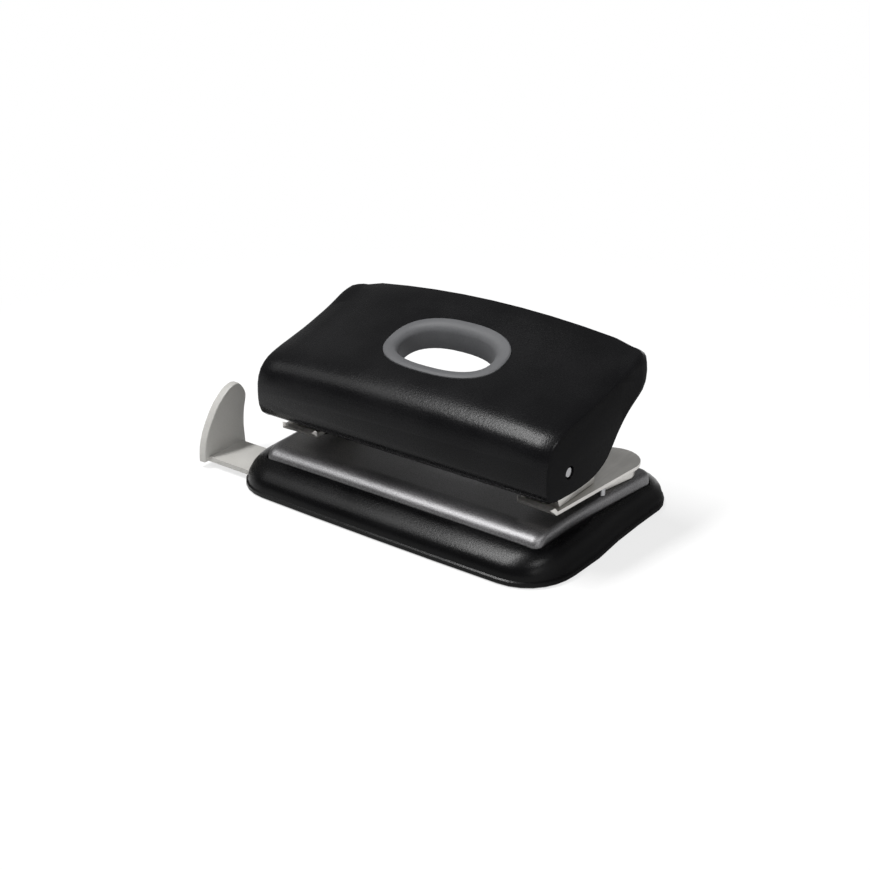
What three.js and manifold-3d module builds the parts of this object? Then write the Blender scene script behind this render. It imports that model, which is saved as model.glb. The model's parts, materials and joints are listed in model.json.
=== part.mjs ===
// Two-hole paper punch, in millimetres. X runs along the length, the paper enters from -Y, Z is up.
// The origin is the centre of the chip tray's flat underside.
import * as THREE from 'three';
import { mergeVertices } from 'three/addons/utils/BufferGeometryUtils.js';
import Module from 'manifold-3d';

const wasm = await Module();
wasm.setup();

// Holes and paper
const holeSpacing = 80;
const holeRadius = 2.75;
const holeToStop = 11;

// Clearances
const seatGap = 0.15;
const runningGap = 0.2;
const looseGap = 0.3;
const cutOverrun = 6;
const jointOverlap = 0.4;

// How far the plate and the tray reach past the line of the holes
const holeToPlateFront = 19;
const holeToPlateBack = 33.4;
const holeToPlateEnd = 6.5;
const trayFrontMargin = 8.5;
const trayBackMargin = 11.1;
const trayEndMargin = 7.7;

// Chip tray
const trayLength = holeSpacing + 2 * (holeToPlateEnd + trayEndMargin);
const trayDepth = trayFrontMargin + holeToPlateFront + holeToPlateBack + trayBackMargin;
const trayTop = 8;
const trayFrontRadius = 14.5;
const trayBackRadius = 13;
const trayEndWave = 0.35;
const trayWaveLength = 31;
const trayWaveInset = 26;
const trayBow = 0.7;
const trayRimHeight = 1.5;
const trayRimChamfer = 0.45;
const trayRimStep = 0.5;
const trayShoulder = 8.2;
const trayShoulderSweep = 62;
const trayEndShoulder = 5.2;
const trayWall = 2.2;
const trayFloor = 1.5;
const trayLedgeDrop = 1.8;
const trayLedgeThickness = 1.6;
const trayLedgeWidth = 2.5;
const trayLedgeTop = trayTop - trayLedgeDrop;
const trayCeiling = trayLedgeTop - trayLedgeThickness;
const railThickness = 1.2;
const railLength = 42;

// Base plate, a pressed steel lid on the tray
const holeY = trayFrontMargin + holeToPlateFront - trayDepth / 2;
const plateFront = holeY - holeToPlateFront;
const plateBack = holeY + holeToPlateBack;
const plateRise = 3;
const plateTop = trayTop + plateRise;
const plateSeatGap = 0.3;
const plateSkirtBottom = trayLedgeTop + plateSeatGap;
const plateFrontHalf = holeSpacing / 2 + holeToPlateEnd;
const plateFlare = 4.6;
const plateFlareLength = 42.9;
const plateFlareExponent = 1.15;
const plateCornerRadius = 2.8;
const plateLeastRadius = 0.4;
const plateSheet = 1.2;
const plateSkirtDraft = 0.35;
const plateEdgeRound = 1.3;
const plateSlopeRun = 6.6;
const plateSlopeFoot = 1.1;
const hookSpacing = 50;
const hookWidth = 7;
const hookReach = 2.4;
const hookGap = 0.4;
const hookNotchDepth = 5;
const hookBottom = trayCeiling - hookGap - plateSheet;

// Punch pins and their springs
const punchStroke = 4;
const pinTopGap = 1.1;
const pinCrown = 0.9;
const pinCrownShare = 0.45;
const pinHollow = 1;
const pinHollowRadius = 3.4;
const pinGrooveDepth = 0.55;
const clipThickness = 0.8;
const clipMouthShare = 0.8;
const springWireRadius = 0.35;
const springGap = 0.4;
const springTurns = 4.5;
const springRadius = holeRadius + springWireRadius + springGap;
const pinClipWidth = 0.5;
const pinClipRadius = springRadius + pinClipWidth;

// Brackets that carry the hinge pin and guide the punch pins
const bracketSheet = 1.2;
const bracketGap = 0.4;
const bracketHalf = pinClipRadius + bracketGap + bracketSheet;
const bracketReachFront = 8.1;
const bracketReachBack = 9.5;
const bracketFront = holeY - bracketReachFront;
const bracketBack = holeY + bracketReachBack;
const bridgeReachFront = 4.5;
const bridgeReachBack = 4.9;
const bridgeFront = holeY - bridgeReachFront;
const bridgeBack = holeY + bridgeReachBack;
const bridgeThickness = 1.1;
const earRadius = 3.6;
const earFrontAngle = 205;
const earTopAngle = 65;

// Punch frames: a flat strap above the paper slot, splayed to follow the plate's flared ends
const slotHeight = 2.9;
const strapSheet = 1.1;
const strapTop = plateTop + slotHeight + strapSheet;
const strapReachFront = 9.6;
const strapFront = holeY - strapReachFront;
const strapMargin = 0.6;
const strapFrontHalf = bracketHalf + strapMargin;
const strapBackRadius = 7.7;
const strapBackInset = 0.3;
const strapBackCentre = plateBack - strapBackInset - strapBackRadius;
const strapSplay = 3.4;
const strapOutward = 0.7;
const lipLength = 1.5;
const lipAngle = 50;
const lipChamfer = 1.4;
const spacerInset = 1.3;
const stopRadius = 1;
const stopOutward = 5.4;
const rivetShankRadius = 1.3;
const rivetHeadRadius = 2.1;
const rivetHeadHeight = 0.9;
const rivetOutward = -3.2;
const stopToRivet = 4.2;
const rivetSpacing = 5;

// Hinge pin
const hingeSetback = 8.6;
const hingeY = holeY - hingeSetback;
const hingeLift = 11;
const hingeZ = strapTop + hingeLift;
const hingePinRadius = 1.6;
const hingePinRecess = 0.3;
const hingePinChamfer = 0.35;
const hingeClipRadius = 3.2;

// Heights along the punch pins, up to the press plates that bear on them
const bridgeLift = 1.5;
const bridgeTop = hingeZ + bridgeLift;
const pinTip = strapTop - strapSheet;
const pinTop = bridgeTop + punchStroke + pinTopGap;
const noseDrop = 0.8;
const pressSheet = 1.2;
const pressBottom = pinTop + looseGap + noseDrop;
const pressTop = pressBottom + pressSheet;
const pinClipTop = bridgeTop - bridgeThickness - looseGap;
const pinClipBottom = pinClipTop - clipThickness;

// Lever
const leverFront = plateFront;
const leverDepth = 50;
const leverBack = leverFront + leverDepth;
const leverLift = 4.1;
const leverLow = strapTop + leverLift;
const leverAbovePress = 12.7;
const leverHigh = pressTop + leverAbovePress;
const leverHeight = leverHigh - leverLow;
const leverPastHoles = 8;
const leverHalf = holeSpacing / 2 + leverPastHoles;
const leverFlare = 2.2;
const leverCornerRadius = 5.5;
const leverCornerBlend = 20;
const leverWall = 2.2;
const leverEndWall = 2;
const leverEndRound = 1.1;
const leverCrownFront = 0.8;
const leverCrownBack = 4.1;

// Finger hole and its soft ring
const ringSetback = 24.8;
const ringCentreY = leverFront + ringSetback;
const ringHalfLength = 18.8;
const ringHalfDepth = 11.5;
const fingerHalfLength = 14.6;
const fingerHalfDepth = 7.9;
const ovalExponent = 2.45;
const ringProud = 0.45;
const ringDepth = 1.3;
const sleeveWall = 0.9;
const ringPocketShare = 1.3;
const collarDepth = 6.2;
const collarWall = 1.8;

// Stiffening ribs inside the lever, two beyond each end of the ring
const ribDepth = 3.4;
const ribThickness = 1.2;
const ringToRib = 2.2;
const ribSpacing = 7;

// Press plates inside the lever
const pressSideGap = 0.5;
const pressHalf = bracketHalf - bracketSheet - pressSideGap;
const pressReachFront = 4.1;
const pressReachBack = 9.5;
const pressFront = holeY - pressReachFront;
const pressBack = holeY + pressReachBack;
const noseRadius = 1.7;
const bossInset = 0.5;
const screwSetback = 6.9;
const screwY = holeY + screwSetback;
const screwShankRadius = 0.9;
const screwHeadRadius = 1.8;
const screwHeadHeight = 0.9;
const screwHeadShare = 0.7;
const screwLength = 4.6;

// Paper guide, pulled out of the tray's left end as in the photograph
const guideFloorGap = 0.25;
const guideBarThickness = 1.5;
const guideBarBottom = trayFloor + guideFloorGap;
const guideBarTop = guideBarBottom + guideBarThickness;
const guideBarInset = 6.1;
const guideBarDepth = 14.3;
const guideBarFront = guideBarInset - trayDepth / 2;
const guideBarBack = guideBarFront + guideBarDepth;
const guideBarInside = 49.2;
const guideBarEnd = guideBarInside - trayLength / 2;
const guidePulledOut = 14.8;
const finOuter = -trayLength / 2 - guidePulledOut;
const finThickness = 2.7;
const finInset = 4.4;
const finDepth = 18.6;
const finFront = finInset - trayDepth / 2;
const finBottom = 1.4;
const finHeight = 20.9;
const finBevel = 0.5;

// Facet counts
const roundSteps = 26;
const cornerSteps = 7;
const cornerRings = 5;
const edgeSteps = 4;
const ovalSteps = 44;
const leverStations = 10;
const profileSteps = 56;
const curveSteps = 7;
const springStepsPerTurn = 8;
const springSides = 5;

const weldDistance = 1e-4;
const degree = Math.PI / 180;

// Outline of the lever's end as shares of its depth and rise: the top from back to front, then the underside
const leverTopShares = [
  [0.94, 1], [0.888, 0.981], [0.79, 0.928], [0.67, 0.865], [0.55, 0.808], [0.43, 0.757], [0.31, 0.715],
  [0.19, 0.673], [0.098, 0.621], [0.036, 0.537], [0.008, 0.434], [0, 0.319], [0.002, 0.2], [0.015, 0.1],
];
const leverUnderShares = [
  [0.045, 0.042], [0.085, 0.019], [0.167, 0.006], [0.315, 0], [0.454, 0.028], [0.56, 0.109], [0.62, 0.214],
  [0.669, 0.315], [0.729, 0.407], [0.795, 0.488], [0.867, 0.561], [0.944, 0.634], [0.988, 0.702],
  [1, 0.782], [0.994, 0.882], [0.976, 0.97],
];

// Where the lever's crown starts and where it is full, at its front and its back, as shares of its height
const crownStartShares = [0.096, 0.65];
const crownFullShares = [0.52, 0.94];

// Outline of the guide's upright fin, as shares of its depth and height
const finShares = [
  [0, 0.02], [0.027, 0.23], [0.129, 0.464], [0.35, 0.751], [0.57, 0.919], [0.726, 0.985],
  [0.86, 0.99], [0.962, 0.89], [1, 0.8], [0.99, 0.72], [0.941, 0.565], [0.914, 0.354],
  [0.919, 0.187], [0.93, 0.02],
];

// Section of the soft ring: share of the way inwards, share of the proud height or of the depth
const ringSectionShares = [
  [0, -1], [0, 0.35], [0.09, 0.95], [0.3, 1], [0.55, 0.8], [0.78, 0], [0.93, -0.55], [1, -1],
];

// Solids and geometry
function solidOf(geometry) {
  const bare = geometry.clone();
  bare.deleteAttribute('normal');
  bare.deleteAttribute('uv');
  const welded = mergeVertices(bare, weldDistance);
  return new wasm.Manifold(new wasm.Mesh({
    numProp: 3,
    vertProperties: Float32Array.from(welded.attributes.position.array),
    triVerts: Uint32Array.from(welded.index.array),
  }));
}

function geometryOf(solid) {
  const mesh = solid.getMesh();
  const geometry = new THREE.BufferGeometry();
  geometry.setAttribute('position', new THREE.BufferAttribute(Float32Array.from(mesh.vertProperties), 3));
  geometry.setIndex(Array.from(mesh.triVerts));
  geometry.computeVertexNormals();
  return geometry;
}

function joined(solids) {
  return solids.reduce((whole, piece) => whole.add(piece));
}

function shapeOf(points) {
  return new THREE.Shape(points.map(([across, up]) => new THREE.Vector2(across, up)));
}

function extruded(shape, length) {
  const settings = { depth: length, bevelEnabled: false, curveSegments: curveSteps };
  return new THREE.ExtrudeGeometry(shape, settings);
}

// A shape drawn in X and Y, raised from one height to another
function raised(shape, low, high) {
  return solidOf(extruded(shape, high - low).translate(0, 0, low));
}

// A shape drawn in Y and Z, run along X from one place to another
function runAlongX(shape, from, to) {
  const turn = new THREE.Matrix4().makeBasis(
    new THREE.Vector3(0, 1, 0), new THREE.Vector3(0, 0, 1), new THREE.Vector3(1, 0, 0));
  return solidOf(extruded(shape, to - from).applyMatrix4(turn).translate(from, 0, 0));
}

function block(xLow, xHigh, yLow, yHigh, zLow, zHigh) {
  const geometry = new THREE.BoxGeometry(xHigh - xLow, yHigh - yLow, zHigh - zLow);
  return solidOf(geometry.translate((xLow + xHigh) / 2, (yLow + yHigh) / 2, (zLow + zHigh) / 2));
}

function uprightRod(radius, x, y, low, high) {
  const geometry = new THREE.CylinderGeometry(radius, radius, high - low, roundSteps).rotateX(90 * degree);
  return solidOf(geometry.translate(x, y, (low + high) / 2));
}

function rodAlongX(radius, y, z, from, to) {
  const geometry = new THREE.CylinderGeometry(radius, radius, to - from, roundSteps).rotateZ(90 * degree);
  return solidOf(geometry.translate((from + to) / 2, y, z));
}

// A profile of radius and height pairs turned about the upright axis
function turned(profile) {
  const points = profile.map(([radius, height]) => new THREE.Vector2(radius, height));
  return new THREE.LatheGeometry(points, roundSteps).rotateX(90 * degree);
}

// Skin over a row of rings with equal point counts, closed at both ends
function lofted(rings, flatten) {
  const count = rings[0].length;
  const positions = rings.flat().flatMap((point) => point.toArray());
  const indices = [];
  for (let level = 0; level < rings.length - 1; level++) {
    for (let i = 0; i < count; i++) {
      const here = level * count + i;
      const next = level * count + (i + 1) % count;
      indices.push(here, next, next + count, here, next + count, here + count);
    }
  }
  for (const [level, side] of [[0, -1], [rings.length - 1, 1]]) {
    const contour = rings[level].map(flatten);
    const turn = Math.sign(THREE.ShapeUtils.area(contour)) * side;
    for (const [a, b, c] of THREE.ShapeUtils.triangulateShape(contour, [])) {
      const facing = Math.sign(THREE.ShapeUtils.area([contour[a], contour[b], contour[c]]));
      const face = facing === turn ? [a, b, c] : [a, c, b];
      indices.push(...face.map((index) => index + level * count));
    }
  }
  const geometry = new THREE.BufferGeometry();
  geometry.setAttribute('position', new THREE.Float32BufferAttribute(positions, 3));
  geometry.setIndex(indices);
  return geometry;
}

function stacked(rings) {
  return solidOf(lofted(rings, (point) => new THREE.Vector2(point.x, point.y)));
}

function loftedAlongX(rings) {
  return solidOf(lofted(rings, (point) => new THREE.Vector2(point.y, point.z)));
}

// A closed section swept round a closed loop: place(turn, step) gives each point
function sweptLoop(steps, sides, place) {
  const positions = [];
  const indices = [];
  for (let i = 0; i < steps; i++) {
    for (let j = 0; j < sides; j++) {
      positions.push(...place(i, j).toArray());
      const here = i * sides + j;
      const up = i * sides + (j + 1) % sides;
      const next = ((i + 1) % steps) * sides + j;
      const nextUp = ((i + 1) % steps) * sides + (j + 1) % sides;
      indices.push(here, nextUp, up, here, next, nextUp);
    }
  }
  const geometry = new THREE.BufferGeometry();
  geometry.setAttribute('position', new THREE.Float32BufferAttribute(positions, 3));
  geometry.setIndex(indices);
  return geometry;
}

// Plan outlines
function roundedRectangle(halfLength, halfDepth, frontRadius, backRadius) {
  const points = [];
  const corners = [[1, -1, -90], [1, 1, 0], [-1, 1, 90], [-1, -1, 180]];
  for (const [sideX, sideY, start] of corners) {
    const radius = sideY > 0 ? backRadius : frontRadius;
    for (let i = 0; i <= cornerSteps; i++) {
      const angle = (start + 90 * i / cornerSteps) * degree;
      points.push(new THREE.Vector2(
        sideX * (halfLength - radius) + radius * Math.cos(angle),
        sideY * (halfDepth - radius) + radius * Math.sin(angle)));
    }
  }
  const full = [];
  points.forEach((point, i) => {
    full.push(point);
    if (i % (cornerSteps + 1) === cornerSteps) {
      const next = points[(i + 1) % points.length];
      for (let step = 1; step < edgeSteps; step++) {
        full.push(point.clone().lerp(next, step / edgeSteps));
      }
    }
  });
  return full;
}

function oval(halfLength, halfDepth) {
  return Array.from({ length: ovalSteps }, (_, i) => {
    const angle = 2 * Math.PI * i / ovalSteps;
    const along = Math.abs(Math.cos(angle)) ** (2 / ovalExponent) * Math.sign(Math.cos(angle));
    const deep = Math.abs(Math.sin(angle)) ** (2 / ovalExponent) * Math.sign(Math.sin(angle));
    return new THREE.Vector2(halfLength * along, ringCentreY + halfDepth * deep);
  });
}

// Chip tray: ends with a slight wave, bowed long sides, a pillow-shaped top
function trayRing(inset, height, endInset = inset) {
  const halfLength = trayLength / 2 - endInset;
  const halfDepth = trayDepth / 2 - inset;
  const shrink = (inset + endInset) / 2;
  const waveMiddle = trayWaveInset - trayDepth / 2;
  const outline = roundedRectangle(halfLength, halfDepth, trayFrontRadius - shrink, trayBackRadius - shrink);
  return outline.map((point) => {
    const along = point.x / halfLength;
    const deep = point.y / halfDepth;
    const wave = trayEndWave * Math.cos(2 * Math.PI * (point.y - waveMiddle) / trayWaveLength);
    const x = point.x + along * wave;
    const y = point.y + deep * trayBow * (1 - along * along);
    return new THREE.Vector3(x, y, height);
  });
}

function chipTray() {
  const levels = [[trayRimChamfer, 0], [0, trayRimChamfer], [0, trayRimHeight]];
  const pillowFoot = trayRimHeight + trayRimStep / 2;
  const sweep = trayShoulderSweep * degree;
  for (let i = 0; i <= curveSteps; i++) {
    const angle = sweep * i / curveSteps;
    const run = (1 - Math.cos(angle)) / (1 - Math.cos(sweep));
    const rise = Math.sin(angle) / Math.sin(sweep);
    const endRun = 1 - Math.sqrt(Math.max(0, 1 - rise * rise));
    levels.push([trayRimStep + trayShoulder * run, pillowFoot + (trayTop - pillowFoot) * rise,
      trayRimStep + trayEndShoulder * endRun]);
  }
  const pillow = stacked(levels.map((level) => trayRing(...level)));
  const cavity = stacked([trayRing(trayWall + trayRimStep, trayFloor),
    trayRing(trayWall + trayRimStep, trayRimHeight), trayRing(2 * trayWall, trayCeiling)]);
  const mouth = stacked([plateRing(trayLedgeWidth, trayCeiling - jointOverlap),
    plateRing(trayLedgeWidth, trayTop + cutOverrun)]);
  const recess = stacked([plateRing(-plateSeatGap, trayLedgeTop),
    plateRing(-plateSeatGap, trayTop + cutOverrun)]);
  let tray = pillow.subtract(joined([cavity, mouth, recess]));
  const slotHalf = (guideBarBack - guideBarFront) / 2 + looseGap;
  const slotMiddle = (guideBarBack + guideBarFront) / 2;
  for (const side of [-1, 1]) {
    const inner = slotMiddle + side * slotHalf;
    const outer = inner + side * railThickness;
    const railStart = -trayLength / 2 + trayFrontRadius / 2;
    tray = tray.add(block(railStart, railStart + railLength, Math.min(inner, outer), Math.max(inner, outer),
      trayFloor - jointOverlap, trayCeiling));
  }
  const slot = block(-trayLength / 2 - cutOverrun, -trayLength / 2 + trayFrontRadius, slotMiddle - slotHalf,
    slotMiddle + slotHalf, trayFloor, guideBarTop + looseGap);
  tray = tray.subtract(slot);
  for (const side of [-1, 1]) {
    const middle = side * hookSpacing / 2;
    const half = hookWidth / 2 + plateSeatGap;
    tray = tray.subtract(block(middle - half, middle + half, plateBack - plateSheet - hookNotchDepth,
      plateBack + plateSeatGap, trayFloor, trayTop));
  }
  return geometryOf(tray);
}

// Base plate: a pan with a long rounded front slope and ends that flare towards the back
function plateHalfAt(y) {
  const share = THREE.MathUtils.clamp(1 - (plateBack - y) / plateFlareLength, 0, 1);
  return plateFrontHalf + plateFlare * share ** plateFlareExponent;
}

function plateRing(inset, height, front = plateFront, sideDraft = 0) {
  const shrink = inset + sideDraft;
  const yFront = front + inset;
  const yBack = plateBack - shrink;
  const middle = (yFront + yBack) / 2;
  const halfLength = plateFrontHalf - shrink;
  const radius = Math.max(plateCornerRadius - inset, plateLeastRadius);
  return roundedRectangle(halfLength, (yBack - yFront) / 2, radius, radius).map((point) => {
    const y = point.y + middle;
    return new THREE.Vector3(point.x * (plateHalfAt(y) - shrink) / halfLength, y, height);
  });
}

function plateStack(inset, drop) {
  const slopeFoot = plateSkirtBottom + plateSlopeFoot;
  const rings = [plateRing(inset, plateSkirtBottom - drop)];
  for (let i = 0; i <= curveSteps; i++) {
    const angle = 90 * degree * i / curveSteps;
    const height = slopeFoot + (plateTop - slopeFoot) * Math.sin(angle);
    const front = plateFront + plateSlopeRun * (1 - Math.cos(angle));
    const rise = (height - plateSkirtBottom) / (plateTop - plateSkirtBottom);
    const roundShare = Math.max(0, (height - plateTop + plateEdgeRound) / plateEdgeRound);
    const round = plateEdgeRound * (1 - Math.sqrt(Math.max(0, 1 - roundShare * roundShare)));
    rings.push(plateRing(inset, height - drop, front, plateSkirtDraft * rise + round));
  }
  return rings;
}

function basePlate() {
  let plate = stacked(plateStack(0, 0)).subtract(stacked(plateStack(plateSheet, plateSheet)));
  for (const side of [-1, 1]) {
    const middle = side * hookSpacing / 2;
    const low = middle - hookWidth / 2;
    const high = middle + hookWidth / 2;
    const skirtInner = plateBack - plateSheet;
    plate = plate.add(block(low, high, skirtInner, plateBack, hookBottom, plateSkirtBottom + plateSheet));
    plate = plate.add(block(low, high, skirtInner, plateBack + hookReach,
      hookBottom, hookBottom + plateSheet));
    plate = plate.subtract(uprightRod(holeRadius + runningGap, side * holeSpacing / 2, holeY,
      plateSkirtBottom, plateTop + cutOverrun));
    for (const rivet of rivetPlaces(side)) {
      plate = plate.subtract(uprightRod(rivetShankRadius + looseGap, rivet.x, rivet.y,
        plateSkirtBottom, plateTop + cutOverrun));
    }
  }
  return geometryOf(plate);
}

// Places on a strap, from across and along it, turned by its splay about the punch hole
function onStrap(side, across, along) {
  const angle = strapSplay * degree;
  return new THREE.Vector2(
    side * (holeSpacing / 2 + strapOutward + across * Math.cos(angle) + along * Math.sin(angle)),
    holeY + along * Math.cos(angle) - across * Math.sin(angle));
}

function rivetPlaces(side) {
  const first = holeToStop + stopToRivet;
  return [first, first + rivetSpacing].map((along) => onStrap(side, rivetOutward, along));
}

function strapOutline(side, inset, frontReach, chamfer) {
  const half = strapFrontHalf - inset;
  const radius = strapBackRadius - inset;
  const centre = strapBackCentre - holeY;
  const points = [[-half, frontReach + chamfer], [chamfer - half, frontReach], [half - chamfer, frontReach],
    [half, frontReach + chamfer]];
  for (let i = 0; i <= 2 * curveSteps; i++) {
    const angle = 180 * degree * i / (2 * curveSteps);
    points.push([radius * Math.cos(angle), centre + radius * Math.sin(angle)]);
  }
  return new THREE.Shape(points.map(([across, along]) => onStrap(side, across, along)));
}

function punchFrame(side) {
  const bend = strapFront - holeY;
  const slant = lipAngle * degree;
  const tip = [bend - lipLength * Math.cos(slant), strapTop + lipLength * Math.sin(slant)];
  const back = strapBackCentre + strapBackRadius - holeY + cutOverrun;
  const low = strapTop - strapSheet;
  const section = shapeOf([
    [back, low], [back, strapTop], [bend, strapTop], tip,
    [tip[0] - strapSheet * Math.sin(slant), tip[1] - strapSheet * Math.cos(slant)],
    [bend - strapSheet * Math.tan(slant / 2), low]]);
  const wide = strapBackRadius + cutOverrun;
  const turn = new THREE.Matrix4().makeRotationZ(-side * strapSplay * degree)
    .setPosition(side * (holeSpacing / 2 + strapOutward), holeY, 0);
  const run = solidOf(geometryOf(runAlongX(section, -wide, wide)).applyMatrix4(turn));
  const outline = strapOutline(side, 0, tip[0] - strapSheet, lipChamfer);
  let strap = run.intersect(raised(outline, low - cutOverrun, tip[1] + cutOverrun));
  strap = strap.subtract(uprightRod(holeRadius + runningGap, side * holeSpacing / 2, holeY,
    low - cutOverrun, strapTop + cutOverrun));
  for (const rivet of rivetPlaces(side)) {
    strap = strap.subtract(uprightRod(rivetShankRadius + looseGap, rivet.x, rivet.y,
      low - cutOverrun, strapTop + cutOverrun));
  }
  return geometryOf(strap);
}

// Spacer that closes the slot behind the stop
function slotSpacer(side) {
  const front = holeToStop + 2 * stopRadius + looseGap;
  const low = plateTop + seatGap;
  const high = strapTop - strapSheet - seatGap;
  let spacer = raised(strapOutline(side, spacerInset, front, stopRadius), low, high);
  for (const rivet of rivetPlaces(side)) {
    spacer = spacer.subtract(uprightRod(rivetShankRadius + looseGap, rivet.x, rivet.y,
      low - cutOverrun, high + cutOverrun));
  }
  return geometryOf(spacer);
}

function paperStop(side) {
  const low = plateTop + seatGap;
  const high = strapTop - strapSheet - seatGap;
  const place = onStrap(side, stopOutward, holeToStop + stopRadius);
  const chamfer = stopRadius / 2;
  const profile = [[0, low], [stopRadius, low], [stopRadius, high - chamfer], [stopRadius - chamfer, high],
    [0, high]];
  return turned(profile).translate(place.x, place.y, 0);
}

function frameRivet(place) {
  const headLow = strapTop + seatGap;
  const tailHigh = plateTop - plateSheet - seatGap;
  const crown = rivetHeadHeight / 2;
  const profile = [
    [0, tailHigh - rivetHeadHeight], [rivetHeadRadius, tailHigh - rivetHeadHeight],
    [rivetHeadRadius, tailHigh], [rivetShankRadius, tailHigh],
    [rivetShankRadius, headLow], [rivetHeadRadius, headLow],
    [rivetHeadRadius - crown, headLow + crown], [0, headLow + rivetHeadHeight]];
  return turned(profile).translate(place.x, place.y, 0);
}

// Bracket: a web on the strap, two cheeks with ears for the hinge pin, a bridge that guides the punch pin
function pinBracket(side) {
  const middle = side * holeSpacing / 2;
  const low = strapTop + seatGap;
  const cheek = new THREE.Shape();
  cheek.moveTo(bracketBack, low);
  cheek.lineTo(bracketBack, low + bracketSheet);
  cheek.lineTo(bridgeBack, bridgeTop);
  cheek.lineTo(bridgeFront, bridgeTop);
  cheek.absarc(hingeY, hingeZ, earRadius, earTopAngle * degree, earFrontAngle * degree, false);
  cheek.lineTo(bracketFront, low);
  const web = block(middle - bracketHalf, middle + bracketHalf, bracketFront, bracketBack,
    low, low + bracketSheet);
  const bridge = block(middle - bracketHalf, middle + bracketHalf, bridgeFront, bridgeBack,
    bridgeTop - bridgeThickness, bridgeTop);
  let bracket = web.add(bridge);
  for (const face of [-bracketHalf, bracketHalf - bracketSheet]) {
    bracket = bracket.add(runAlongX(cheek, middle + face, middle + face + bracketSheet));
  }
  const reach = bracketHalf + cutOverrun;
  bracket = bracket.subtract(rodAlongX(hingePinRadius + runningGap, hingeY, hingeZ,
    middle - reach, middle + reach));
  bracket = bracket.subtract(uprightRod(holeRadius + runningGap, middle, holeY, low - cutOverrun,
    bridgeTop + cutOverrun));
  return geometryOf(bracket);
}

function hingePin() {
  const half = leverHalfAt(hingeY) - hingePinRecess;
  const profile = [
    [0, -half], [hingePinRadius - hingePinChamfer, -half], [hingePinRadius, hingePinChamfer - half],
    [hingePinRadius, half - hingePinChamfer], [hingePinRadius - hingePinChamfer, half], [0, half]];
  return turned(profile).rotateY(90 * degree).translate(0, hingeY, hingeZ);
}

// Snap ring with an open mouth, lying in the X and Y plane
function snapRing(inner, outer) {
  const mouth = Math.asin(inner * clipMouthShare / outer);
  const innerMouth = Math.asin(clipMouthShare);
  const shape = new THREE.Shape();
  shape.absarc(0, 0, outer, mouth, 2 * Math.PI - mouth, false);
  shape.absarc(0, 0, inner, 2 * Math.PI - innerMouth, innerMouth, true);
  const settings = { depth: clipThickness, bevelEnabled: false, curveSegments: roundSteps };
  return new THREE.ExtrudeGeometry(shape, settings);
}

function hingeClip(side) {
  const face = holeSpacing / 2 - bracketHalf - looseGap;
  const near = side * face - (side > 0 ? clipThickness : 0);
  const ring = snapRing(hingePinRadius + seatGap, hingeClipRadius);
  return ring.rotateY(90 * degree).translate(near, hingeY, hingeZ);
}

// Punch pin: hollow-ground tip, a groove for its clip, a domed top
function punchPin(side) {
  const groove = holeRadius - pinGrooveDepth;
  const profile = [
    [0, pinTip], [holeRadius, pinTip],
    [holeRadius, pinClipBottom - seatGap], [groove, pinClipBottom - seatGap],
    [groove, pinClipTop + seatGap], [holeRadius, pinClipTop + seatGap], [holeRadius, pinTop - pinCrown],
    [holeRadius * (1 + pinCrownShare) / 2, pinTop - pinCrown / 4], [holeRadius * pinCrownShare, pinTop],
    [0, pinTop]];
  const width = 2 * holeRadius + cutOverrun;
  const hollow = new THREE.CylinderGeometry(pinHollowRadius, pinHollowRadius, width, roundSteps)
    .translate(0, 0, pinTip + pinHollow - pinHollowRadius);
  const pin = solidOf(turned(profile)).subtract(solidOf(hollow));
  return geometryOf(pin).translate(side * holeSpacing / 2, holeY, 0);
}

function pinClip(side) {
  const ring = snapRing(holeRadius - pinGrooveDepth + runningGap, pinClipRadius);
  return ring.rotateZ(90 * degree).translate(side * holeSpacing / 2, holeY, pinClipBottom);
}

// Return spring round the punch pin, one unbroken wire with straight upright ends
function springPath() {
  const low = strapTop + seatGap + bracketSheet + runningGap;
  const high = pinClipBottom - runningGap;
  const run = 2 * springWireRadius;
  const steps = springTurns * springStepsPerTurn;
  const path = [new THREE.Vector3(springRadius, 0, low)];
  for (let i = 0; i <= steps; i++) {
    const angle = 2 * Math.PI * i / springStepsPerTurn;
    const height = low + run + (high - low - 2 * run) * i / steps;
    path.push(new THREE.Vector3(springRadius * Math.cos(angle), springRadius * Math.sin(angle), height));
  }
  const last = path[path.length - 1];
  path.push(new THREE.Vector3(last.x, last.y, high));
  return path;
}

function springLeastGap(path) {
  let least = Infinity;
  for (let i = 0; i < path.length; i++) {
    for (let j = i + springStepsPerTurn / 2; j < path.length; j++) {
      least = Math.min(least, path[i].distanceTo(path[j]) - 2 * springWireRadius);
    }
  }
  return least;
}

function punchSpring(side) {
  const path = springPath();
  const rings = path.map((point, i) => {
    const before = path[Math.max(i - 1, 0)];
    const after = path[Math.min(i + 1, path.length - 1)];
    const atEnd = i === 0 || i === path.length - 1;
    const ahead = atEnd ? new THREE.Vector3(0, 0, 1) : after.clone().sub(before).normalize();
    const outward = new THREE.Vector3(point.x, point.y, 0).normalize();
    const sideways = new THREE.Vector3().crossVectors(ahead, outward).normalize();
    const square = new THREE.Vector3().crossVectors(sideways, ahead);
    return Array.from({ length: springSides }, (_, k) => {
      const angle = 2 * Math.PI * k / springSides;
      return point.clone()
        .addScaledVector(square, springWireRadius * Math.cos(angle))
        .addScaledVector(sideways, springWireRadius * Math.sin(angle));
    });
  });
  const wire = lofted(rings, (point) => new THREE.Vector2(point.x, point.y));
  return wire.translate(side * holeSpacing / 2, holeY, 0);
}

console.log('least gap between spring curls', springLeastGap(springPath()).toFixed(2));

// Lever: the end outline run along X, crowned in the middle and slightly wider at the back
function leverHalfAt(y) {
  return leverHalf + leverFlare * (y - leverFront) / leverDepth;
}

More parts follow.
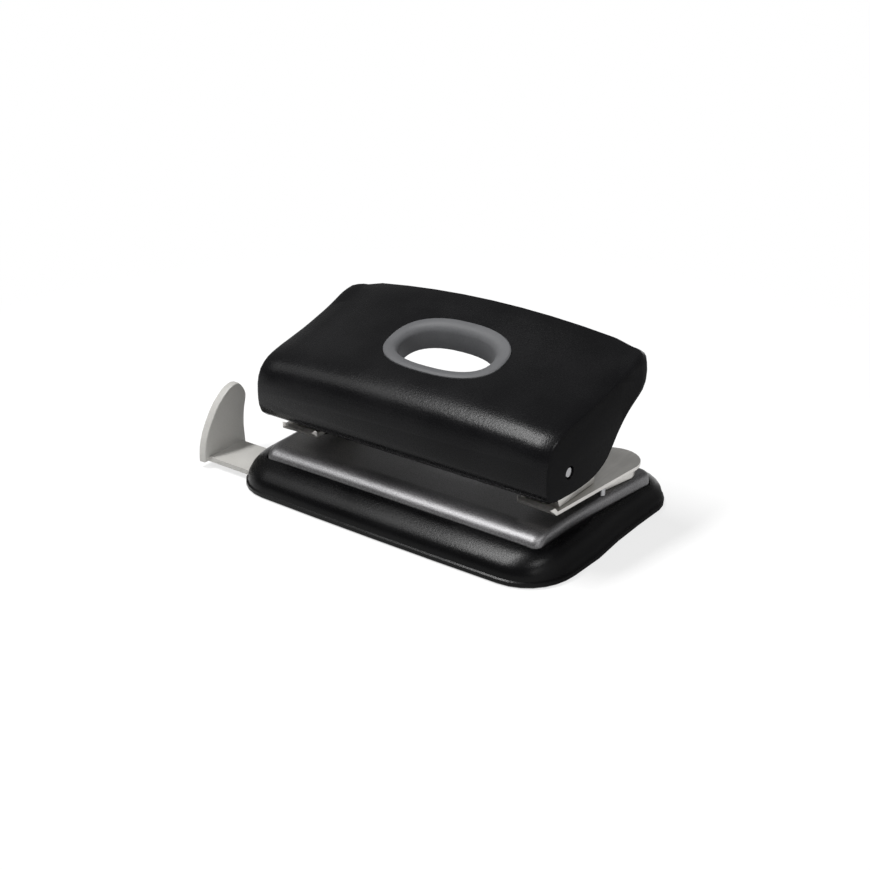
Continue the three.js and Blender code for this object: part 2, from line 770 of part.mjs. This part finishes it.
// How far a quarter round of this radius steps back, at a distance from where it starts
function roundStep(radius, distance) {
  const into = Math.max(0, radius - distance);
  return radius - Math.sqrt(radius * radius - into * into);
}

// How far the outline moves forward near the lever's ends, along the top's slope, to round its back corners
function cornerSetback(y, fromEnd) {
  const start = leverBack - leverCornerBlend;
  const full = leverBack - leverCornerRadius / 2;
  return THREE.MathUtils.smoothstep(y, start, full) * roundStep(leverCornerRadius, fromEnd);
}

function leverPlace([deep, up]) {
  return new THREE.Vector3(0, leverFront + deep * leverDepth, leverLow + up * leverHeight);
}

const topBack = leverPlace(leverTopShares[1]);
const topMiddle = leverPlace(leverTopShares[Math.floor(leverTopShares.length / 2)]);
const topSlope = (topBack.z - topMiddle.z) / (topBack.y - topMiddle.y);

const leverCurve = new THREE.CatmullRomCurve3([...leverTopShares, ...leverUnderShares].map(leverPlace), true,
  'centripetal');

// How far the middle of the lever stands above its ends at a point of the outline
function crownAt(y, z) {
  const deep = (y - leverFront) / leverDepth;
  const low = leverLow + leverHeight * THREE.MathUtils.lerp(...crownStartShares, deep);
  const high = leverLow + leverHeight * THREE.MathUtils.lerp(...crownFullShares, deep);
  const share = THREE.MathUtils.clamp((z - low) / (high - low), 0, 1);
  return THREE.MathUtils.lerp(leverCrownFront, leverCrownBack, THREE.MathUtils.clamp(deep, 0, 1)) * share;
}

const leverOutline = leverCurve.getSpacedPoints(profileSteps).slice(0, -1)
  .map((point) => ({ y: point.y, z: point.z, lift: crownAt(point.y, point.z) }));
const frontEdge = leverPlace(leverTopShares[leverTopShares.length - 1]);
const upperCount = leverOutline.findIndex(({ z }) => z < frontEdge.z);

// The outline moved inwards, square to itself
function insetOutline(distance) {
  const count = leverOutline.length;
  return leverOutline.map((point, i) => {
    const before = leverOutline[(i + count - 1) % count];
    const after = leverOutline[(i + 1) % count];
    const normal = new THREE.Vector2(before.z - after.z, after.y - before.y).normalize();
    return { y: point.y + normal.x * distance, z: point.z + normal.y * distance, lift: point.lift };
  });
}

function leverRing(outline, share, endInset) {
  return outline.map(({ y, z, lift }) => {
    const half = leverHalfAt(y);
    const x = share * (half - endInset);
    const setback = cornerSetback(y, half - Math.abs(x));
    return new THREE.Vector3(x, y - setback, z - topSlope * setback + lift * (1 - share * share));
  });
}

function leverTopAt(x, y) {
  const after = leverOutline.findIndex((point) => point.y <= y);
  const front = leverOutline[after];
  const back = leverOutline[after - 1];
  const share = (y - front.y) / (back.y - front.y);
  const across = x / leverHalfAt(y);
  return THREE.MathUtils.lerp(front.z, back.z, share)
    + THREE.MathUtils.lerp(front.lift, back.lift, share) * (1 - across * across);
}

function leverBody() {
  const rounding = [];
  for (let i = 0; i <= cornerRings; i++) {
    const fromEnd = leverCornerRadius * (1 - Math.cos(90 * degree * i / cornerRings));
    rounding.push([insetOutline(roundStep(leverEndRound, fromEnd)), fromEnd]);
  }
  const rings = rounding.map(([outline, fromEnd]) => leverRing(outline, -1, fromEnd));
  for (let i = 1; i < leverStations; i++) {
    rings.push(leverRing(leverOutline, 2 * i / leverStations - 1, leverEndRound));
  }
  for (const [outline, fromEnd] of rounding.reverse()) {
    rings.push(leverRing(outline, 1, fromEnd));
  }
  return loftedAlongX(rings);
}

// Inside of the lever: the front and top moved inwards by a wall, open below
function leverHollow(wall) {
  const back = leverBack - wall;
  const floor = leverLow - cutOverrun;
  const upper = insetOutline(wall).slice(0, upperCount).filter(({ y }) => y < back);
  const top = upper[0];
  const front = upper[upper.length - 1];
  const outline = [{ y: back, z: top.z, lift: top.lift }, ...upper, { y: front.y, z: floor, lift: 0 },
    { y: back, z: floor, lift: 0 }];
  const rings = [];
  for (let i = 0; i <= leverStations; i++) {
    rings.push(leverRing(outline, 2 * i / leverStations - 1, leverEndWall));
  }
  return loftedAlongX(rings);
}

// A loop that follows the top surface: section points are [share inwards, height above the top]
function onTopLoop(outer, inner, section) {
  return sweptLoop(ovalSteps, section.length, (i, j) => {
    const [inwards, height] = section[j];
    const place = outer[i].clone().lerp(inner[i], inwards);
    return new THREE.Vector3(place.x, place.y, leverTopAt(place.x, place.y) + height);
  });
}

function leverShell() {
  const body = leverBody();
  let shell = body.subtract(leverHollow(leverWall));
  const long = leverHalf + cutOverrun;
  const deepHollow = leverHollow(leverWall + ribDepth);
  const firstRib = ringHalfLength + ringToRib;
  for (const place of [-firstRib - ribSpacing, -firstRib, firstRib, firstRib + ribSpacing]) {
    const slab = block(place - ribThickness / 2, place + ribThickness / 2, leverFront + leverWall / 2,
      leverBack - leverWall / 2, leverLow, leverHigh + leverCrownBack);
    shell = shell.add(slab.intersect(body).subtract(deepHollow));
  }
  for (const side of [-1, 1]) {
    const middle = side * holeSpacing / 2;
    const half = pressHalf - bossInset;
    const boss = block(middle - half, middle + half, pressFront + bossInset, pressBack - bossInset,
      pressTop + seatGap, leverHigh + leverCrownBack);
    shell = shell.add(boss.intersect(body));
    shell = shell.subtract(uprightRod(screwShankRadius + runningGap, middle, screwY,
      pressBottom, pressTop + screwLength));
  }
  const sleeveRoom = sleeveWall + runningGap;
  const hole = oval(fingerHalfLength + sleeveRoom, fingerHalfDepth + sleeveRoom);
  const collarOut = sleeveRoom + collarWall;
  const collarLoop = oval(fingerHalfLength + collarOut, fingerHalfDepth + collarOut);
  const collar = onTopLoop(collarLoop, hole,
    [[0, -collarDepth], [0, -jointOverlap], [1, -jointOverlap], [1, -collarDepth]]);
  shell = shell.add(solidOf(collar));
  const holeCut = raised(new THREE.Shape(hole), leverLow, leverHigh + cutOverrun);
  const pocketLoop = oval(ringHalfLength + runningGap, ringHalfDepth + runningGap);
  const pocketDepth = ringDepth + seatGap;
  const pocket = onTopLoop(pocketLoop, hole,
    [[0, -pocketDepth], [0, cutOverrun], [ringPocketShare, cutOverrun], [ringPocketShare, -pocketDepth]]);
  shell = shell.subtract(holeCut).subtract(solidOf(pocket));
  shell = shell.subtract(rodAlongX(hingePinRadius + runningGap, hingeY, hingeZ, -long, long));
  return geometryOf(shell);
}

// Soft ring with a sleeve that lines the finger hole
function gripRing() {
  const outer = oval(ringHalfLength, ringHalfDepth);
  const inner = oval(fingerHalfLength, fingerHalfDepth);
  const sleeveShare = 1 - sleeveWall / (ringHalfLength - fingerHalfLength);
  const section = ringSectionShares.map(([inwards, up]) => [inwards, up * (up < 0 ? ringDepth : ringProud)]);
  section.push([1, -collarDepth], [sleeveShare, -collarDepth], [sleeveShare, -ringDepth]);
  return onTopLoop(outer, inner, section);
}

// Press plate: a strip with a rounded nose that bears on the punch pin
function pressPlate(side) {
  const middle = side * holeSpacing / 2;
  const strip = block(middle - pressHalf, middle + pressHalf, pressFront, pressBack, pressBottom, pressTop);
  const nose = rodAlongX(noseRadius, holeY, pressBottom - noseDrop + noseRadius,
    middle - pressHalf, middle + pressHalf);
  const keep = block(middle - pressHalf, middle + pressHalf, pressFront, pressBack,
    pressBottom - cutOverrun, pressTop);
  const plate = strip.add(nose.intersect(keep));
  return geometryOf(plate.subtract(uprightRod(screwShankRadius + runningGap, middle, screwY,
    pressBottom - cutOverrun, pressTop + cutOverrun)));
}

function pressPlateScrew(side) {
  const low = pressBottom - seatGap - screwHeadHeight;
  const seat = low + screwHeadHeight;
  const profile = [[0, low], [screwHeadRadius * screwHeadShare, low],
    [screwHeadRadius, low + screwHeadHeight / 2], [screwHeadRadius, seat],
    [screwShankRadius, seat], [screwShankRadius, seat + screwLength], [0, seat + screwLength]];
  return turned(profile).translate(side * holeSpacing / 2, screwY, 0);
}

// Paper guide: a flat bar that slides in the tray, with an upright fin at its outer end
function paperGuide() {
  const finPoints = finShares.map(([deep, up]) => new THREE.Vector2(
    finFront + finBevel + deep * (finDepth - 2 * finBevel),
    finBottom + finBevel + up * (finHeight - 2 * finBevel)));
  const curve = new THREE.SplineCurve(finPoints);
  const shape = new THREE.Shape(curve.getPoints(2 * finShares.length));
  const upright = new THREE.ExtrudeGeometry(shape, {
    depth: finThickness - 2 * finBevel, bevelThickness: finBevel, bevelSize: finBevel, bevelSegments: 2,
  });
  const turn = new THREE.Matrix4().makeBasis(
    new THREE.Vector3(0, 1, 0), new THREE.Vector3(0, 0, 1), new THREE.Vector3(1, 0, 0));
  const fin = solidOf(upright.applyMatrix4(turn).translate(finOuter + finBevel, 0, 0));
  const bar = block(finOuter + finThickness / 2, guideBarEnd, guideBarFront, guideBarBack,
    guideBarBottom, guideBarTop);
  return geometryOf(fin.add(bar));
}

// Materials
const finishes = {
  blackPlastic: { color: 0x17181a, roughness: 0.5, metalness: 0 },
  traySatin: { color: 0x0e0f10, roughness: 0.42, metalness: 0 },
  greySoft: { color: 0x6a6b6e, roughness: 0.75, metalness: 0 },
  guideGrey: { color: 0xb4b1aa, roughness: 0.6, metalness: 0 },
  darkSteel: { color: 0x4a484a, roughness: 0.38, metalness: 0.85 },
  frameSteel: { color: 0xa8a49e, roughness: 0.35, metalness: 0.9 },
  brightSteel: { color: 0xc4c4c6, roughness: 0.22, metalness: 1 },
  springSteel: { color: 0x9a9a9c, roughness: 0.3, metalness: 1 },
};

// Assembly
const punch = new THREE.Group();

function place(name, geometry, finish) {
  const mesh = new THREE.Mesh(geometry, new THREE.MeshStandardMaterial(finish));
  mesh.name = name;
  punch.add(mesh);
}

place('chip_tray', chipTray(), finishes.traySatin);
place('base_plate', basePlate(), finishes.darkSteel);
place('hinge_pin', hingePin(), finishes.brightSteel);
place('lever_shell', leverShell(), finishes.blackPlastic);
place('grip_ring', gripRing(), finishes.greySoft);
place('paper_guide', paperGuide(), finishes.guideGrey);

for (const [hand, side] of [['left', -1], ['right', 1]]) {
  place(`punch_frame_${hand}`, punchFrame(side), finishes.frameSteel);
  place(`slot_spacer_${hand}`, slotSpacer(side), finishes.frameSteel);
  place(`paper_stop_${hand}`, paperStop(side), finishes.brightSteel);
  place(`pin_bracket_${hand}`, pinBracket(side), finishes.frameSteel);
  place(`punch_pin_${hand}`, punchPin(side), finishes.brightSteel);
  place(`pin_clip_${hand}`, pinClip(side), finishes.springSteel);
  place(`punch_spring_${hand}`, punchSpring(side), finishes.springSteel);
  place(`press_plate_${hand}`, pressPlate(side), finishes.frameSteel);
  place(`press_screw_${hand}`, pressPlateScrew(side), finishes.brightSteel);
  place(`hinge_clip_${hand}`, hingeClip(side), finishes.springSteel);
  rivetPlaces(side).forEach((spot, i) => {
    place(`frame_rivet_${hand}_${i + 1}`, frameRivet(spot), finishes.brightSteel);
  });
}

export default punch;
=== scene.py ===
import json
import math

import bpy
from mathutils import Matrix, Vector


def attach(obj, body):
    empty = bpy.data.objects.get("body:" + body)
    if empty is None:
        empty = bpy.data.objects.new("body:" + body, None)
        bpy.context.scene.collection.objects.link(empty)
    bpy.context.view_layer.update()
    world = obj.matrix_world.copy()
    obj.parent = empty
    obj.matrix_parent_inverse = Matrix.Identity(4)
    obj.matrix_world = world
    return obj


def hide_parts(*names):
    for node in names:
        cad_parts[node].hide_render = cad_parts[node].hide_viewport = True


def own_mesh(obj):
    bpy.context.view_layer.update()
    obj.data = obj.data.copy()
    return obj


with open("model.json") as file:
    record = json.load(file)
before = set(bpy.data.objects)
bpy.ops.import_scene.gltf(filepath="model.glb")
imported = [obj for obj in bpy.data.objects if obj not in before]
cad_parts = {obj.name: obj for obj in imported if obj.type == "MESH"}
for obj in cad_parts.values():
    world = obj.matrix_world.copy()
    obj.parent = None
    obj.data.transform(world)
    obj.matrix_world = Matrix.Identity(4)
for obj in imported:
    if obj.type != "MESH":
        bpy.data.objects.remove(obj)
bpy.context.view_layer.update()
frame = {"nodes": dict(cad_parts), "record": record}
nodes = frame["nodes"]

# Where the values of a noise mostly lie
NOISE_RANGE = (0.3, 0.7)


# Node helpers
def empty_tree(owner):
    """Turn the nodes of a material or world on, with none in them yet."""
    owner.use_nodes = True
    owner.node_tree.nodes.clear()
    return owner.node_tree


def new_material(name):
    material = bpy.data.materials.new(name)
    tree = empty_tree(material)
    output = tree.nodes.new("ShaderNodeOutputMaterial")
    return material, tree, output.inputs["Surface"]


def new_principled(name):
    material, tree, surface = new_material(name)
    shader = tree.nodes.new("ShaderNodeBsdfPrincipled")
    tree.links.new(shader.outputs["BSDF"], surface)
    return material, tree, shader


def object_coordinates(tree, stretch=(1, 1, 1)):
    place = tree.nodes.new("ShaderNodeTexCoord")
    mapping = tree.nodes.new("ShaderNodeMapping")
    mapping.inputs["Scale"].default_value = stretch
    tree.links.new(place.outputs["Object"], mapping.inputs["Vector"])
    return mapping.outputs["Vector"]


def part_of(tree, vector, axis):
    parts = tree.nodes.new("ShaderNodeSeparateXYZ")
    tree.links.new(vector, parts.inputs["Vector"])
    return parts.outputs[axis]


def noise(tree, vector, scale, detail, rough=0.5):
    node = tree.nodes.new("ShaderNodeTexNoise")
    node.inputs["Scale"].default_value = scale
    node.inputs["Detail"].default_value = detail
    node.inputs["Roughness"].default_value = rough
    tree.links.new(vector, node.inputs["Vector"])
    return node.outputs["Fac"]


def cells(tree, vector, scale):
    node = tree.nodes.new("ShaderNodeTexVoronoi")
    node.inputs["Scale"].default_value = scale
    tree.links.new(vector, node.inputs["Vector"])
    return node.outputs["Distance"]


def spread(tree, value, low, high, source=NOISE_RANGE):
    """Take the value from its source range to the range from low to high, and no further."""
    node = tree.nodes.new("ShaderNodeMapRange")
    node.inputs["From Min"].default_value, node.inputs["From Max"].default_value = source
    node.inputs["To Min"].default_value = low
    node.inputs["To Max"].default_value = high
    tree.links.new(value, node.inputs["Value"])
    return node.outputs["Result"]


def combine(tree, operation, *values):
    """One step of arithmetic on sockets and plain numbers."""
    node = tree.nodes.new("ShaderNodeMath")
    node.operation = operation
    for socket, value in zip(node.inputs, values):
        if isinstance(value, (int, float)):
            socket.default_value = value
        else:
            tree.links.new(value, socket)
    return node.outputs[0]


def mixture(tree, a, b, share):
    """The share of a with the rest of b."""
    return combine(tree, "ADD", combine(tree, "MULTIPLY", a, share), combine(tree, "MULTIPLY", b, 1 - share))


# Parts that the materials share
def paint(tree, shader, tone, tone_range, dark, light):
    """Colour the shader from dark to light as the tone goes through its range."""
    node = tree.nodes.new("ShaderNodeMix")
    node.data_type = "RGBA"
    node.inputs["A"].default_value = (*dark, 1)
    node.inputs["B"].default_value = (*light, 1)
    tree.links.new(spread(tree, tone, 0, 1, tone_range), node.inputs["Factor"])
    tree.links.new(node.outputs["Result"], shader.inputs["Base Color"])


def uneven_gloss(tree, broad, fine, rough, ripple):
    """A roughness that follows the broad patches, give or take the ripple of the fine marks."""
    return combine(tree, "ADD", spread(tree, broad, *rough), spread(tree, fine, -ripple, ripple))


def emboss(tree, shader, height, depth):
    node = tree.nodes.new("ShaderNodeBump")
    node.inputs["Distance"].default_value = depth
    tree.links.new(height, node.inputs["Height"])
    tree.links.new(node.outputs["Normal"], shader.inputs["Normal"])


# Materials, with scales per metre, depths in metres, and pits and peel as shares of the finer marks
TONE_RANGE = (0.38, 0.62)
FLAKE_TONE_RANGE = (0.36, 0.64)
END_FACING_RANGE = (0.55, 0.95)
PITS_PER_GRAIN = 0.6
PIT_SHARE = 0.7
PEEL_SHARE = 1.4


def grained_plastic(name, dark, light, rough, grain, depth, level, end_dullness=0.0):
    """Moulded plastic with a fine eroded grain, rubbed smoother in broad patches and duller at its ends."""
    material, tree, shader = new_principled(name)
    at = object_coordinates(tree)
    broad = noise(tree, at, scale=55, detail=3)
    fine = noise(tree, at, scale=grain, detail=4, rough=0.65)
    pits = cells(tree, at, scale=grain * PITS_PER_GRAIN)
    paint(tree, shader, mixture(tree, broad, fine, share=0.6), TONE_RANGE, dark, light)
    facing = tree.nodes.new("ShaderNodeTexCoord").outputs["Normal"]
    endways = combine(tree, "ABSOLUTE", part_of(tree, facing, "X"))
    dullness = spread(tree, endways, 0, end_dullness, END_FACING_RANGE)
    roughness = combine(tree, "ADD", uneven_gloss(tree, broad, fine, rough, ripple=0.04), dullness)
    tree.links.new(roughness, shader.inputs["Roughness"])
    emboss(tree, shader, combine(tree, "ADD", fine, combine(tree, "MULTIPLY", pits, PIT_SHARE)), depth)
    shader.inputs["Specular IOR Level"].default_value = level
    return material


def lacquered_steel(name, dark, light, rough, depth, metallic):
    """Pressed steel under metallic lacquer: fine flakes in the colour and the gloss."""
    material, tree, shader = new_principled(name)
    at = object_coordinates(tree)
    broad = noise(tree, at, scale=45, detail=2)
    flakes = noise(tree, at, scale=3200, detail=2, rough=0.7)
    peel = noise(tree, at, scale=420, detail=2)
    paint(tree, shader, mixture(tree, broad, flakes, share=0.3), FLAKE_TONE_RANGE, dark, light)
    tree.links.new(uneven_gloss(tree, broad, flakes, rough, ripple=0.06), shader.inputs["Roughness"])
    emboss(tree, shader, combine(tree, "ADD", flakes, combine(tree, "MULTIPLY", peel, PEEL_SHARE)), depth)
    shader.inputs["Metallic"].default_value = metallic
    return material


def rolled_steel(name, dark, light, rough, depth, along=(1, 1, 1), metallic=1.0):
    """Plain steel with the faint lines of rolling, drawing or grinding."""
    material, tree, shader = new_principled(name)
    broad = noise(tree, object_coordinates(tree), scale=90, detail=3)
    lines = noise(tree, object_coordinates(tree, along), scale=900, detail=3, rough=0.6)
    paint(tree, shader, mixture(tree, broad, lines, share=0.5), TONE_RANGE, dark, light)
    tree.links.new(uneven_gloss(tree, broad, lines, rough, ripple=0.05), shader.inputs["Roughness"])
    emboss(tree, shader, lines, depth)
    shader.inputs["Metallic"].default_value = metallic
    return material


BY_SLOT = {
    "lever_black": grained_plastic(
        "lever_black", dark=(0.0022, 0.0022, 0.0026), light=(0.0046, 0.0046, 0.0051), rough=(0.24, 0.3),
        grain=2300, depth=0.000025, level=0.125, end_dullness=0.6),
    "tray_black": grained_plastic(
        "tray_black", dark=(0.0006, 0.0006, 0.0008), light=(0.0012, 0.0012, 0.0015), rough=(0.25, 0.31),
        grain=2600, depth=0.000016, level=0.13, end_dullness=0.6),
    "ring_grey": grained_plastic(
        "ring_grey", dark=(0.075, 0.076, 0.08), light=(0.1, 0.101, 0.105), rough=(0.5, 0.58),
        grain=2400, depth=0.00001, level=0.25),
    "guide_grey": grained_plastic(
        "guide_grey", dark=(0.365, 0.358, 0.34), light=(0.425, 0.418, 0.4), rough=(0.42, 0.52),
        grain=2200, depth=0.00001, level=0.3),
    "plate_steel": lacquered_steel(
        "plate_steel", dark=(0.088, 0.088, 0.09), light=(0.215, 0.212, 0.216), rough=(0.38, 0.44),
        depth=0.000022, metallic=0.96),
    "frame_steel": rolled_steel(
        "frame_steel", dark=(0.56, 0.547, 0.522), light=(0.68, 0.663, 0.635), rough=(0.34, 0.44),
        depth=0.000006, along=(1, 0.12, 1), metallic=0.85),
    "bright_steel": rolled_steel(
        "bright_steel", dark=(0.28, 0.28, 0.29), light=(0.38, 0.38, 0.39), rough=(0.2, 0.3),
        depth=0.000004, along=(1, 1, 0.1)),
    "spring_steel": rolled_steel(
        "spring_steel", dark=(0.3, 0.3, 0.315), light=(0.42, 0.42, 0.435), rough=(0.26, 0.36),
        depth=0.000005),
}

# Smooth shading that keeps the crisp edges, as a modifier on each node
SHARP_ANGLE = math.radians(32)
END_FACE_X = 0.995
BORDER_AVERAGE = 0.5
BORDER_MARGIN = 0.25


def off_border(tree, at_end):
    """One for an edge, or nought where only one of its two faces is an end face."""
    on_faces = tree.nodes.new("GeometryNodeFieldOnDomain")
    on_faces.domain = "FACE"
    tree.links.new(at_end, on_faces.inputs[0])
    away = combine(tree, "ABSOLUTE", combine(tree, "SUBTRACT", on_faces.outputs[0], BORDER_AVERAGE))
    return combine(tree, "GREATER_THAN", away, BORDER_MARGIN)


def shading_group(name, flat_ends):
    """Smooth but for sharp edges and, with flat_ends, for the border of the faces that look along X."""
    group = bpy.data.node_groups.new(name, "GeometryNodeTree")
    group.interface.new_socket("Geometry", in_out="INPUT", socket_type="NodeSocketGeometry")
    group.interface.new_socket("Geometry", in_out="OUTPUT", socket_type="NodeSocketGeometry")
    start = group.nodes.new("NodeGroupInput")
    end = group.nodes.new("NodeGroupOutput")
    faces = group.nodes.new("GeometryNodeSetShadeSmooth")
    faces.domain = "FACE"
    faces.inputs["Shade Smooth"].default_value = True
    edges = group.nodes.new("GeometryNodeSetShadeSmooth")
    edges.domain = "EDGE"
    bend = group.nodes.new("GeometryNodeInputMeshEdgeAngle")
    flat = group.nodes.new("FunctionNodeCompare")
    flat.data_type = "FLOAT"
    flat.operation = "LESS_EQUAL"
    flat.inputs["B"].default_value = SHARP_ANGLE
    group.links.new(start.outputs[0], faces.inputs["Geometry"])
    group.links.new(faces.outputs["Geometry"], edges.inputs["Geometry"])
    group.links.new(bend.outputs["Unsigned Angle"], flat.inputs["A"])
    smooth = flat.outputs["Result"]
    if flat_ends:
        facing = group.nodes.new("GeometryNodeInputNormal").outputs["Normal"]
        endways = combine(group, "ABSOLUTE", part_of(group, facing, "X"))
        at_end = combine(group, "GREATER_THAN", endways, END_FACE_X)
        smooth = combine(group, "MULTIPLY", smooth, off_border(group, at_end))
    group.links.new(smooth, edges.inputs["Shade Smooth"])
    group.links.new(edges.outputs["Geometry"], end.inputs[0])
    return group


# Each node gets its material, clean faces and smooth shading, and the steel sheets and guide lightly rounded
# edges
WELD_DISTANCE = 0.000002
FLAT_ANGLE = math.radians(0.6)
EDGE_ROUND = 0.00012
EDGE_SEGMENTS = 2
SHARP_SLOTS = ("plate_steel", "frame_steel", "guide_grey")
slot_of = {part["node"]: part["material_slot"] for part in frame["record"]["subparts"]}
smooth_by_angle = shading_group("smooth_by_angle", flat_ends=False)
smooth_with_flat_ends = shading_group("smooth_with_flat_ends", flat_ends=True)


def dress(piece, slot, is_lever):
    """Give a piece its material, modifiers and shading. Only the lever's flat faces are joined up."""
    piece.data.materials.clear()
    piece.data.materials.append(BY_SLOT[slot])
    weld = piece.modifiers.new("weld", "WELD")
    weld.merge_threshold = WELD_DISTANCE
    if is_lever:
        dissolve = piece.modifiers.new("dissolve", "DECIMATE")
        dissolve.decimate_type = "DISSOLVE"
        dissolve.angle_limit = FLAT_ANGLE
    if slot in SHARP_SLOTS:
        round_edges = piece.modifiers.new("round_edges", "BEVEL")
        round_edges.width = EDGE_ROUND
        round_edges.segments = EDGE_SEGMENTS
        round_edges.limit_method = "ANGLE"
        round_edges.angle_limit = SHARP_ANGLE
    shade = piece.modifiers.new("shade", "NODES")
    shade.node_group = smooth_with_flat_ends if is_lever else smooth_by_angle
    if slot in SHARP_SLOTS:
        weigh = piece.modifiers.new("weigh", "WEIGHTED_NORMAL")
        weigh.keep_sharp = True


springs = {}
for name in ("punch_spring_left", "punch_spring_right"):
    springs[name] = bpy.data.objects.new(name.replace("punch", "closing"), nodes[name].data.copy())
    bpy.context.scene.collection.objects.link(springs[name])
for name, node in nodes.items():
    dress(springs.get(name, node), slot_of[name], is_lever=name == "lever_shell")

# Each spring is a copy that goes down with its punch pin, in place of the hidden part from model.glb
for name, spring in springs.items():
    side = name.split("_")[-1]
    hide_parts(name)
    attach(spring, f"pin_{side}")
    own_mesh(spring)

# Studio floor, which keeps the shadow near the object and turns plain white further out
FLOOR_SIZE = 30
FLOOR_HEIGHT = -0.0001
FLOOR_COLOUR = (0.9, 0.9, 0.9, 1)
NEAR_WHITE = 0.72
FAR_WHITE = 1
WHITE_DISTANCES = (0.08, 0.24)


def seen_directly(tree, mirrored=1):
    """One for camera rays, mirrored for glossy and transmission rays, nought for the rest."""
    path = tree.nodes.new("ShaderNodeLightPath").outputs
    shiny = combine(tree, "MAXIMUM", path["Is Glossy Ray"], path["Is Transmission Ray"])
    return combine(tree, "MAXIMUM", path["Is Camera Ray"], combine(tree, "MULTIPLY", shiny, mirrored))


def mix_shaders(tree, share, first, second, surface):
    mix = tree.nodes.new("ShaderNodeMixShader")
    tree.links.new(share, mix.inputs["Fac"])
    tree.links.new(first, mix.inputs[1])
    tree.links.new(second, mix.inputs[2])
    tree.links.new(mix.outputs["Shader"], surface)


def floor_material():
    material, tree, surface = new_material("studio_floor")
    matte = tree.nodes.new("ShaderNodeBsdfDiffuse")
    matte.inputs["Color"].default_value = FLOOR_COLOUR
    white = tree.nodes.new("ShaderNodeEmission")
    place = tree.nodes.new("ShaderNodeTexCoord")
    length = tree.nodes.new("ShaderNodeVectorMath")
    length.operation = "LENGTH"
    tree.links.new(place.outputs["Object"], length.inputs[0])
    whiteness = spread(tree, length.outputs["Value"], NEAR_WHITE, FAR_WHITE, WHITE_DISTANCES)
    share = combine(tree, "MULTIPLY", whiteness, seen_directly(tree))
    mix_shaders(tree, share, matte.outputs["BSDF"], white.outputs["Emission"], surface)
    return material


half = FLOOR_SIZE / 2
corners = [(x * half, y * half, FLOOR_HEIGHT) for x, y in ((-1, -1), (1, -1), (1, 1), (-1, 1))]
floor_mesh = bpy.data.meshes.new("studio_floor")
floor_mesh.from_pydata(corners, [], [(0, 1, 2, 3)])
floor_mesh.materials.append(floor_material())
floor = bpy.data.objects.new("studio_floor", floor_mesh)
bpy.context.scene.collection.objects.link(floor)

# World that looks white, is mirrored fainter above the horizon, and gives a dim plain light
WHITE = (1, 1, 1, 1)
WHITE_STRENGTH = 1
DIM_STRENGTH = 0.08
MIRRORED_LOW = 1
MIRRORED_HIGH = 0.2
MIRROR_HEIGHTS = (0.02, 0.3)


def background(tree, strength):
    node = tree.nodes.new("ShaderNodeBackground")
    node.inputs["Color"].default_value = WHITE
    node.inputs["Strength"].default_value = strength
    return node.outputs["Background"]


world = bpy.data.worlds.new("studio")
bpy.context.scene.world = world
world_tree = empty_tree(world)
world_output = world_tree.nodes.new("ShaderNodeOutputWorld")
direction = world_tree.nodes.new("ShaderNodeTexCoord").outputs["Generated"]
height = part_of(world_tree, direction, "Z")
mirrored = spread(world_tree, height, MIRRORED_LOW, MIRRORED_HIGH, MIRROR_HEIGHTS)
mix_shaders(world_tree, seen_directly(world_tree, mirrored), background(world_tree, DIM_STRENGTH),
            background(world_tree, WHITE_STRENGTH), world_output.inputs["Surface"])

# Lamps, all at one distance from a point within the object
LAMP_TARGET = Vector((0, 0, 0.02))
LAMP_DISTANCE = 0.9


def placed(side, up, back, at):
    """The matrix of a lamp or camera at a place, facing away from back."""
    return Matrix(((side.x, up.x, back.x, at.x), (side.y, up.y, back.y, at.y),
                   (side.z, up.z, back.z, at.z), (0, 0, 0, 1)))


def area_light(name, towards, width, depth, power):
    data = bpy.data.lights.new(name, "AREA")
    data.shape = "RECTANGLE"
    data.size = width
    data.size_y = depth
    data.energy = power
    light = bpy.data.objects.new(name, data)
    bpy.context.scene.collection.objects.link(light)
    back = Vector(towards).normalized()
    side = (Vector((1, 0, 0)) - back * back.x).normalized()
    light.matrix_world = placed(side, back.cross(side), back, LAMP_TARGET + back * LAMP_DISTANCE)


area_light("key", towards=(-0.345, -0.2, 0.92), width=0.14, depth=0.54, power=9.5)
area_light("left", towards=(-0.66, -0.25, 0.72), width=0.25, depth=0.4, power=0.7)
area_light("right", towards=(0.75, -0.45, 0.5), width=0.4, depth=0.4, power=1.6)
area_light("corner", towards=(0.39, -0.19, 0.88), width=0.2, depth=0.25, power=2)

# Camera, solved from the photograph's perspective
AZIMUTH = math.radians(36.1)
ELEVATION = math.radians(24.5)
CAMERA_PLACE = Vector((0.1996, -0.2815, 0.1743))
SENSOR_WIDTH = 36
LENS = 55.86
CLIP_START = 0.01
camera_data = bpy.data.cameras.new("camera")
camera_data.sensor_fit = "HORIZONTAL"
camera_data.sensor_width = SENSOR_WIDTH
camera_data.lens = LENS
camera_data.clip_start = CLIP_START
camera = bpy.data.objects.new("camera", camera_data)
bpy.context.scene.collection.objects.link(camera)
back = Vector((math.sin(AZIMUTH) * math.cos(ELEVATION), -math.cos(AZIMUTH) * math.cos(ELEVATION),
               math.sin(ELEVATION)))
right = Vector((math.cos(AZIMUTH), math.sin(AZIMUTH), 0))
camera.matrix_world = placed(right, back.cross(right), back, CAMERA_PLACE)
bpy.context.scene.camera = camera

bpy.context.scene.view_settings.view_transform = "Standard"
